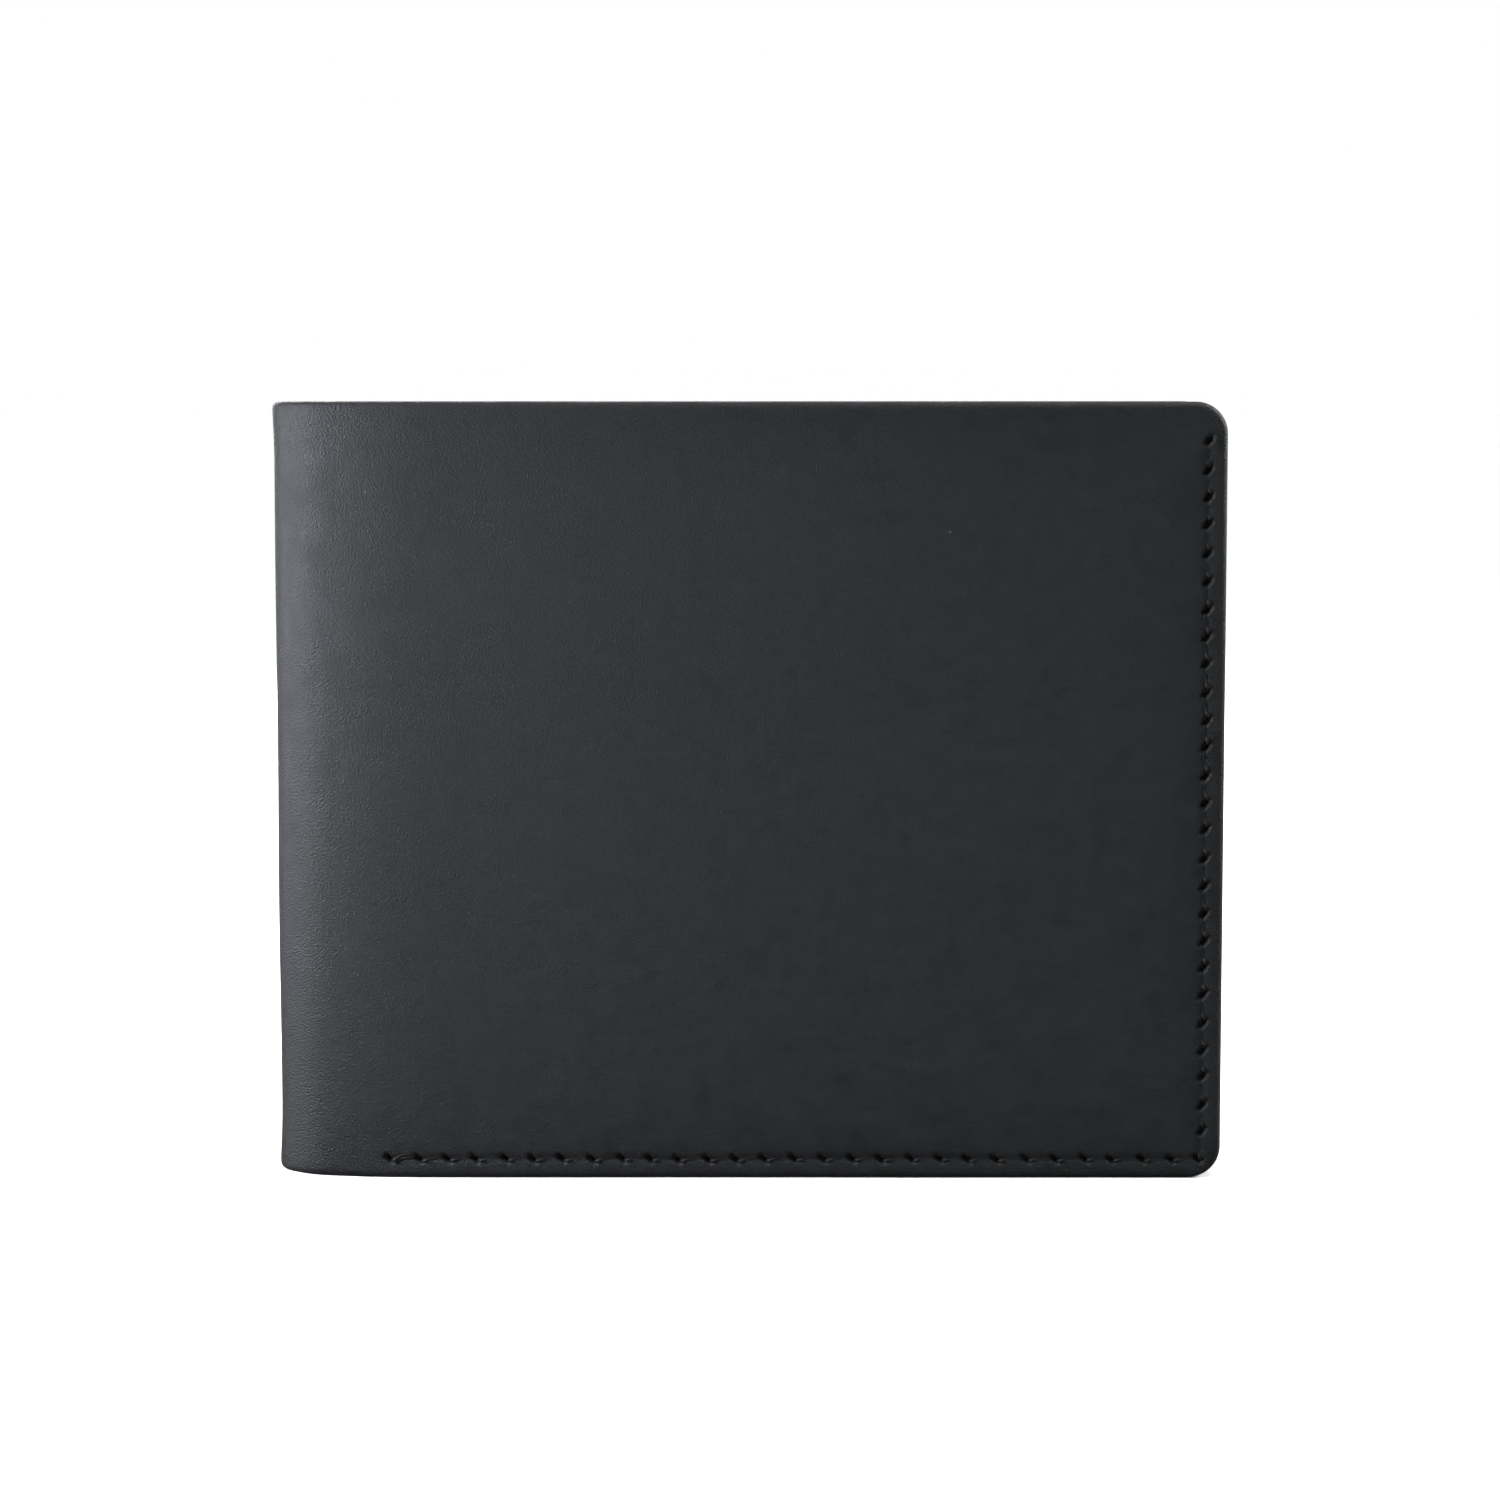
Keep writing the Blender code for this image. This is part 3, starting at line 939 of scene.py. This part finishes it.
class Nodes:
    """Shorthand for building a node material."""

    def __init__(self, name):
        self.material = bpy.data.materials.new(name)
        self.material.use_nodes = True
        self.tree = self.material.node_tree
        self.shader = self.tree.nodes["Principled BSDF"]

    def add(self, kind, inputs=None, **settings):
        node = self.tree.nodes.new(kind)
        for key, value in settings.items():
            setattr(node, key, value)
        for key, value in (inputs or {}).items():
            self.feed(node.inputs[key], value)
        return node

    def feed(self, socket, value):
        """Links a socket to the output of another node, or sets its value."""
        if isinstance(value, bpy.types.NodeSocket):
            self.tree.links.new(value, socket)
        else:
            socket.default_value = value

    def math(self, operation, a, b):
        return self.add("ShaderNodeMath", {0: a, 1: b}, operation=operation).outputs[0]

    def plus(self, a, b):
        return self.math("ADD", a, b)

    def times(self, a, b):
        return self.math("MULTIPLY", a, b)

    def flat_pattern(self):
        """Coordinates on the flat leather, or along and round a thread, in millimetres."""
        return self.add("ShaderNodeUVMap", uv_map="flat").outputs["UV"]

    def noise(self, vector, scale, detail, rough, distortion=0.0):
        inputs = {"Vector": vector, "Scale": scale, "Detail": detail, "Roughness": rough}
        inputs["Distortion"] = distortion
        return self.add("ShaderNodeTexNoise", inputs).outputs["Fac"]

    def cells(self, vector, scale):
        """Distance from the middle of the nearest cell."""
        node = self.add("ShaderNodeTexVoronoi", {"Vector": vector, "Scale": scale}, feature="F1")
        return node.outputs["Distance"]

    def remap(self, value, low, high, to_low, to_high):
        inputs = {"Value": value, "From Min": low, "From Max": high, "To Min": to_low, "To Max": to_high}
        return self.add("ShaderNodeMapRange", inputs).outputs["Result"]

    def spread(self, noise, to_low, to_high, margin=0.3):
        """Spreads the middle range of a noise over another range."""
        return self.remap(noise, margin, 1 - margin, to_low, to_high)

    def mix(self, factor, first, second, blend_type="MIX"):
        node = self.add("ShaderNodeMix", {"Factor": factor}, data_type="RGBA", blend_type=blend_type)
        colour_inputs = [socket for socket in node.inputs if socket.type == "RGBA"]
        for socket, value in zip(colour_inputs, (first, second)):
            self.feed(socket, value)
        return [socket for socket in node.outputs if socket.type == "RGBA"][0]

    def shade(self, level):
        """A neutral colour of a level, to multiply another colour by."""
        channels = {"Red": level, "Green": level, "Blue": level}
        return self.add("ShaderNodeCombineColor", channels).outputs["Color"]

    def mask(self, name):
        return self.add("ShaderNodeAttribute", attribute_name=name).outputs["Fac"]

    def set(self, name, value):
        self.feed(self.shader.inputs[name], value)

    def set_bump(self, height, strength, distance):
        """Bumps of a height map, whose distance is in metres."""
        node = self.add("ShaderNodeBump", {"Height": height, "Strength": strength, "Distance": distance})
        self.set("Normal", node.outputs["Normal"])


NEUTRAL_TINT = (1.0, 1.0, 1.0)


def grey(level, tint=NEUTRAL_TINT):
    return (level * tint[0], level * tint[1], level * tint[2], 1.0)


def paler(tint):
    """A tint half as strong."""
    return tuple(0.5 + part / 2 for part in tint)


# Scales of the leather's patterns, per millimetre, and how far a pebble reaches from its middle, in cells.
CLOUD_SCALE = 0.055
DUST_SCALE = 0.11
BLOTCH_SCALE = 0.16
PATCH_SCALE = 0.45
FIBRE_SCALE = 4.2
GRAIN_REACH = 0.55

# How much patches and fibres lighten and darken the leather.
PATCH_CONTRAST = 0.18
FIBRE_CONTRAST = 0.07

# Dust: where a speck fades, in cells from its middle, the patches that it keeps to, and how light it is.
SPECK_RANGE = (0.014, 0.026)
SPECK_PATCHES = (0.42, 0.5)
SPECK_LIGHT = 6.0

# Painted shade in the seams: the groove's share of a slit's, its strength and its grey. A border's darkening:
# its mask, its strength, and how light it is beside the leather; the margin's is painted shade, the edge's is
# the burnished edge's own colour.
GROOVE_SHADE_SHARE = 0.6
SEAM_SHADE_SHARE = 0.9
SEAM_SHADE_GREY = 0.002
SHADED_BORDERS = (("margin", 0.45, 0.2), ("edge", 0.75, 0.33))

# How much each pattern and mask adds to the roughness.
PATCH_ROUGH = 0.07
GRAIN_ROUGH = 0.03
BLOTCH_ROUGH = 0.09
EDGE_ROUGH = 0.10
MARGIN_ROUGH = -0.08
POLISH_ROUGH = -0.10

# Weights of the grain and the patches in the bumps, beside the fibres, and the bumps' distance in metres.
GRAIN_BUMP = 0.3
PATCH_BUMP = 0.2
BUMP_DISTANCE = 0.0003


def leather_colour(nodes, flat, patches, fibres, base, tint):
    """Clouds, mottling, dust, dark burnished edges, and painted shade in slits, grooves, creases and margins.
    """
    clouds = nodes.noise(flat, CLOUD_SCALE, 4.0, 0.55)
    dust = nodes.cells(flat, DUST_SCALE)
    colour = nodes.mix(nodes.spread(clouds, 0.0, 1.0, 0.35), grey(base, paler(tint)), grey(base, tint))
    mottling = nodes.spread(patches, 1 - PATCH_CONTRAST, 1 + PATCH_CONTRAST)
    light = nodes.times(mottling, nodes.spread(fibres, 1 - FIBRE_CONTRAST, 1 + FIBRE_CONTRAST, 0.25))
    colour = nodes.mix(1.0, colour, nodes.shade(light), "MULTIPLY")
    specks = nodes.remap(dust, *SPECK_RANGE, 1.0, 0.0)
    specks = nodes.times(specks, nodes.remap(patches, *SPECK_PATCHES, 0.0, 1.0))
    colour = nodes.mix(specks, colour, grey(base * SPECK_LIGHT))
    # Painted shade: the slits and the seam groove, and a pocket's crease in the groove mask, go dark.
    seams = nodes.math("MAXIMUM", nodes.times(nodes.mask("groove"), GROOVE_SHADE_SHARE), nodes.mask("slit"))
    colour = nodes.mix(nodes.times(seams, SEAM_SHADE_SHARE), colour, grey(SEAM_SHADE_GREY))
    # Painted shade along the margin; the edge's darker colour is the burnished edge's own.
    for mask, share, level in SHADED_BORDERS:
        colour = nodes.mix(nodes.times(nodes.mask(mask), share), colour, grey(base * level))
    return colour


def leather_roughness(nodes, flat, patches, grain, rough):
    """Rougher between the pebbles and at the cut edge, smoother on the border margin and the handled fold."""
    blotches = nodes.noise(flat, BLOTCH_SCALE, 3.0, 0.6)
    total = nodes.spread(patches, rough - PATCH_ROUGH, rough + PATCH_ROUGH)
    total = nodes.plus(total, nodes.remap(grain, 0.0, 1.0, GRAIN_ROUGH, -GRAIN_ROUGH))
    total = nodes.plus(total, nodes.times(nodes.mask("edge"), EDGE_ROUGH))
    total = nodes.plus(total, nodes.spread(blotches, -BLOTCH_ROUGH, BLOTCH_ROUGH))
    total = nodes.plus(total, nodes.times(nodes.mask("margin"), MARGIN_ROUGH))
    return nodes.plus(total, nodes.times(nodes.mask("polish"), POLISH_ROUGH))


def leather_material(name, base, tint, grain_scale, bump, rough, sheen):
    """Oiled, waxed leather with a fine pebbled grain."""
    nodes = Nodes(name)
    flat = nodes.flat_pattern()
    patches = nodes.noise(flat, PATCH_SCALE, 4.0, 0.6)
    fibres = nodes.noise(flat, FIBRE_SCALE, 4.0, 0.65)
    grain = nodes.remap(nodes.cells(flat, grain_scale), 0.0, GRAIN_REACH, 1.0, 0.0)
    nodes.set("Base Color", leather_colour(nodes, flat, patches, fibres, base, tint))
    nodes.set("Roughness", leather_roughness(nodes, flat, patches, grain, rough))
    height = nodes.plus(nodes.times(grain, GRAIN_BUMP), fibres)
    height = nodes.plus(height, nodes.times(patches, PATCH_BUMP))
    nodes.set_bump(height, bump, BUMP_DISTANCE)
    nodes.set("Sheen Weight", sheen)
    nodes.set("Sheen Roughness", 0.45)
    nodes.set("Specular IOR Level", 0.34)
    nodes.set("Specular Tint", grey(1.0, paler(tint)))
    return nodes.material


def suede_material(name, base):
    """The flesh side: a short matted nap."""
    nodes = Nodes(name)
    flat = nodes.flat_pattern()
    nap = nodes.noise(flat, 2.6, 5.0, 0.7, 0.6)
    drift = nodes.noise(flat, 0.12, 4.0, 0.6)
    level = nodes.times(nodes.spread(nap, 0.6, 1.45, 0.25), nodes.spread(drift, 0.8, 1.2))
    colour = nodes.mix(1.0, grey(base, (1.05, 1.0, 0.96)), nodes.shade(level), "MULTIPLY")
    colour = nodes.mix(nodes.times(nodes.mask("edge"), 0.7), colour, grey(base * 0.4))
    nodes.set("Base Color", colour)
    nodes.set("Roughness", nodes.spread(nap, 0.82, 0.95, 0.2))
    nodes.set_bump(nap, 0.5, 0.00025)
    nodes.set("Sheen Weight", 0.25)
    nodes.set("Sheen Roughness", 0.6)
    return nodes.material


def thread_material(name):
    """Waxed two-ply thread, with fibres along its twist."""
    nodes = Nodes(name)
    flat = nodes.flat_pattern()
    along_twist = {"Vector": flat, "Rotation": (0.0, 0.0, 0.5), "Scale": (1.0, 7.0, 1.0)}
    stretched = nodes.add("ShaderNodeMapping", along_twist).outputs["Vector"]
    fibres = nodes.noise(stretched, 2.2, 3.0, 0.6)
    wax = nodes.noise(flat, 0.8, 2.0, 0.5)
    colour = nodes.mix(fibres, grey(0.003), grey(0.009, (1.0, 0.98, 0.95)))
    nodes.set("Base Color", colour)
    nodes.set("Roughness", nodes.spread(wax, 0.44, 0.58))
    nodes.set("Specular IOR Level", 0.2)
    nodes.set_bump(fibres, 0.5, 0.00006)
    return nodes.material


# ------ stage, camera and light

def stage_material(name):
    """Matt white, with hardly any drift."""
    nodes = Nodes(name)
    coordinates = nodes.add("ShaderNodeTexCoord").outputs["Object"]
    drift = nodes.noise(coordinates, 3.0, 2.0, 0.5)
    nodes.set("Base Color", nodes.shade(nodes.spread(drift, 0.97, 0.98)))
    nodes.set("Roughness", 0.9)
    nodes.set("Specular IOR Level", 0.0)
    return nodes.material


def make_floor(reach):
    """A square floor that reaches this many metres each way."""
    mesh = bpy.data.meshes.new("floor")
    corners = [(-reach, -reach, 0.0), (reach, -reach, 0.0), (reach, reach, 0.0), (-reach, reach, 0.0)]
    mesh.from_pydata(corners, [], [(0, 1, 2, 3)])
    mesh.materials.append(stage_material("pale_floor"))
    floor = link_object("floor", mesh)
    floor.visible_glossy = False


def make_world(background, fill):
    """A bright studio seen by the camera, and a dimmer one that lights the scene."""
    world = bpy.data.worlds.new("studio")
    bpy.context.scene.world = world
    world.use_nodes = True
    tree = world.node_tree
    shade = tree.nodes["Background"]
    shade.inputs["Color"].default_value = (1.0, 1.0, 1.0, 1.0)
    seen = tree.nodes.new("ShaderNodeLightPath")
    level = tree.nodes.new("ShaderNodeMapRange")
    level.inputs["To Min"].default_value = fill
    level.inputs["To Max"].default_value = background
    tree.links.new(seen.outputs["Is Camera Ray"], level.inputs["Value"])
    tree.links.new(level.outputs["Result"], shade.inputs["Strength"])


def aim(obj, target):
    """Turns an object's -Z towards a target, and keeps its sides level."""
    direction = np.array(target) - np.array(obj.location)
    yaw = math.atan2(direction[1], direction[0]) - math.pi / 2
    pitch = math.atan2(direction[2], math.hypot(direction[0], direction[1]))
    obj.rotation_euler = (math.pi / 2 + pitch, 0.0, yaw)


def make_light(name, place, target, size, watts, colour=NEUTRAL_TINT):
    """A soft box: place and target in metres."""
    data = bpy.data.lights.new(name, "AREA")
    data.shape = "RECTANGLE"
    data.size, data.size_y = size
    data.energy = watts
    data.color = colour
    light = link_object(name, data)
    light.location = place
    light.visible_camera = False
    aim(light, target)


def make_sun(name, lean, softness, strength):
    """A wide soft sun from above: lean is how far it leans towards +X and +Y."""
    data = bpy.data.lights.new(name, "SUN")
    data.angle = math.radians(softness)
    data.energy = strength
    sun = link_object(name, data)
    sun.location = (lean[0], lean[1], 1.0)
    aim(sun, (0.0, 0.0, 0.0))


CAMERA_SENSOR = 36.0
CAMERA_LENS = 81.0
CAMERA_SHIFT = -0.06
CAMERA_TILT = math.radians(4.66)

# In metres: aside of the wallet's middle, in front of its front face, and above the floor.
CAMERA_ASIDE = 0.0003
CAMERA_DISTANCE = 0.4075
CAMERA_HEIGHT = 0.097


def make_camera():
    data = bpy.data.cameras.new("camera")
    data.sensor_width = CAMERA_SENSOR
    data.lens = CAMERA_LENS
    data.shift_y = CAMERA_SHIFT
    data.dof.use_dof = False
    camera = link_object("camera", data)
    camera.location = (CAMERA_ASIDE, -CAMERA_DISTANCE - HALF_THICKNESS * MM, CAMERA_HEIGHT)
    camera.rotation_euler = (math.pi / 2 - CAMERA_TILT, 0.0, 0.0)
    bpy.context.scene.camera = camera


# ------ assembly

FOLD_SIDE_SEED = 20
SLOT_SEED = 30


def cover_face(x, z):
    """Depth of the outer face beside the edge seam."""
    return OUTER_FACE_DEPTH


def make_outer_leather(half, side, materials):
    """One cover and one side of the spine, in place of the cover and spine strips that they hide."""
    cover = make_cover_leather(f"{half}_cover_leather", side, HOLES[half], materials)
    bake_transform(cover)
    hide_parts(f"{half}_cover")
    spine = make_spine_leather(f"spine_{half}_leather", side, materials)
    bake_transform(spine)
    if half == "back":
        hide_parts("spine_back_strip", "spine_centre_strip")
    else:
        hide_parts("spine_front_strip")


def make_half(half, side, seed):
    """A half: its outer leather, its divider and pockets, and the thread of every seam."""
    make_outer_leather(half, side, [OUTER, SUEDE])
    make_panel(half, side, DIVIDER, divider_depth, [POCKET], seed)
    for number, layer in enumerate(POCKETS):
        make_panel(half, side, layer, partial(pocket_depth, number), [POCKET], seed + number + 1)
    make_stitching(half, side, "edge_thread", HOLES[half], cover_face, stack_top, THREAD, True)
    ends = [(FOLD_SIDE_SEAM_X, z) for z in FOLD_SIDE_SEAM_Z]
    holes = straight_holes(*ends, FOLD_SIDE_STITCHES, (-1.0, 0.0), seed + FOLD_SIDE_SEED)
    make_stitching(half, side, "fold_side_thread", holes, divider_depth, stack_top, THREAD, True)
    for number in range(SLOT_COUNT):
        ends = [(x, slot_seam_height(number)) for x in SLOT_SEAM_X]
        holes = straight_holes(*ends, SLOT_STITCHES, (0.0, -1.0), seed + SLOT_SEED + number)
        face = partial(pocket_face, number)
        make_stitching(half, side, f"slot_thread_{number + 1}", holes, divider_depth, face, THREAD, False)


OUTER = leather_material("outer_leather_grain", 0.0075, (0.86, 1.0, 1.07), 3.6, 0.52, 0.545, 0.04)
POCKET = leather_material("pocket_leather_grain", 0.012, (0.90, 1.0, 1.10), 3.8, 0.5, 0.52, 0.06)
SUEDE = suede_material("flesh_side", 0.017)
THREAD = thread_material("waxed_thread_twist")

make_half("front", -1, 100)
make_half("back", 1, 200)

make_floor(12.0)
make_world(background=1.0, fill=0.043)
make_sun("overhead", (-0.04, -0.18), 50.0, 3.15)
make_light("left_box", (-0.165, -0.072, 0.085), (-0.053, 0.0, 0.078), (0.04, 0.04), 0.10, (1.02, 0.98, 1.07))
make_light("side_box", (-0.21, -0.052, 0.09), (-0.055, 0.0, 0.055), (0.13, 0.12), 0.81, (1.02, 1.0, 1.07))
make_light("low_box", (0.085, -0.165, 0.022), (0.040, 0.0, 0.022), (0.07, 0.04), 0.030, (0.97, 1.0, 1.05))
make_light("right_box", (0.62, 0.16, 0.34), (0.0, 0.0, 0.05), (0.5, 0.4), 8.0, (1.0, 0.99, 0.98))
make_light("back_box", (-0.20, 0.62, 0.30), (0.0, 0.0, 0.05), (0.5, 0.4), 6.5)
make_camera()
bpy.context.scene.view_settings.view_transform = "Standard"
